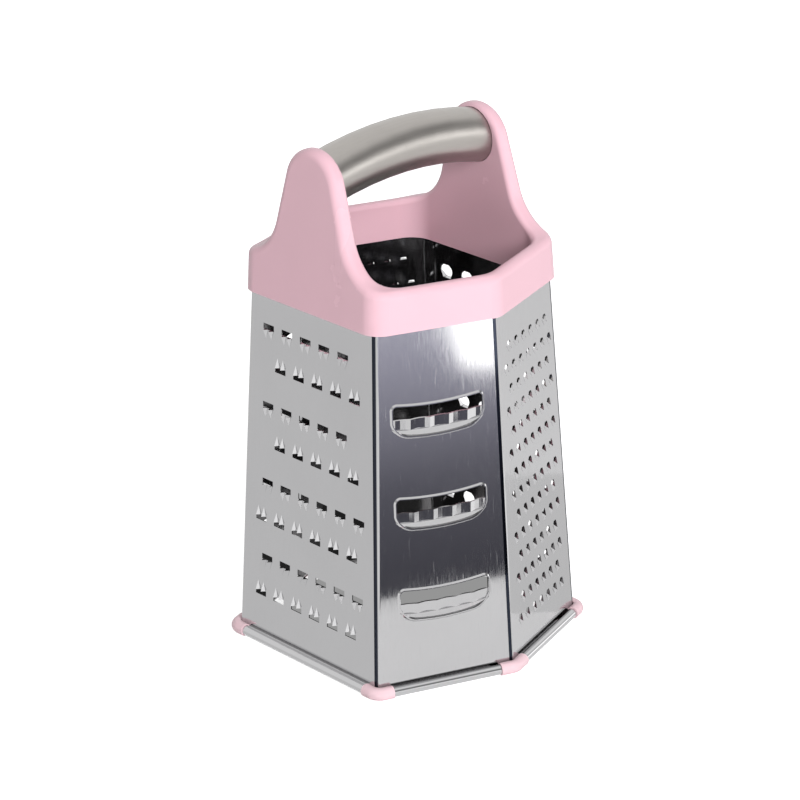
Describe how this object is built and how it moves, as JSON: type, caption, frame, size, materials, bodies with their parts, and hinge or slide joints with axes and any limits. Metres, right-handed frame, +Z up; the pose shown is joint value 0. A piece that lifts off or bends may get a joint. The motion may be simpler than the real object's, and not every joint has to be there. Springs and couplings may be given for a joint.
{
  "type": "box grater",
  "caption": "Hexagonal box grater of stamped steel panels with rolled hems and pink corner feet, a pink moulded collar and a bowed steel tube handle.",
  "frame": {"origin": "on the surface that the grater stands on, under the middle of its six-sided body", "axes": "+Z up, through the open collar; X along the handle tube, from the two-spike rasp face at -X to the coarse face at +X; -Y is the side of the wavy slicer and the fine face"},
  "size_m": [0.131, 0.1468, 0.2409],
  "materials": {
    "panel_steel": "polished",
    "tube_steel": "brushed",
    "collar_plastic": "satin",
    "foot_plastic": "satin"
  },
  "bodies": {
    "root": {"panel_rasp": "panel_steel", "panel_wavy_slicer": "panel_steel", "panel_fine": "panel_steel", "panel_coarse": "panel_steel", "panel_slits": "panel_steel", "panel_straight_slicer": "panel_steel", "collar": "collar_plastic", "handle_tube": "tube_steel", "foot_left_front": "foot_plastic", "foot_front": "foot_plastic", "foot_right_front": "foot_plastic", "foot_right_back": "foot_plastic", "foot_back": "foot_plastic", "foot_left_back": "foot_plastic"}
  },
  "joints": []
}
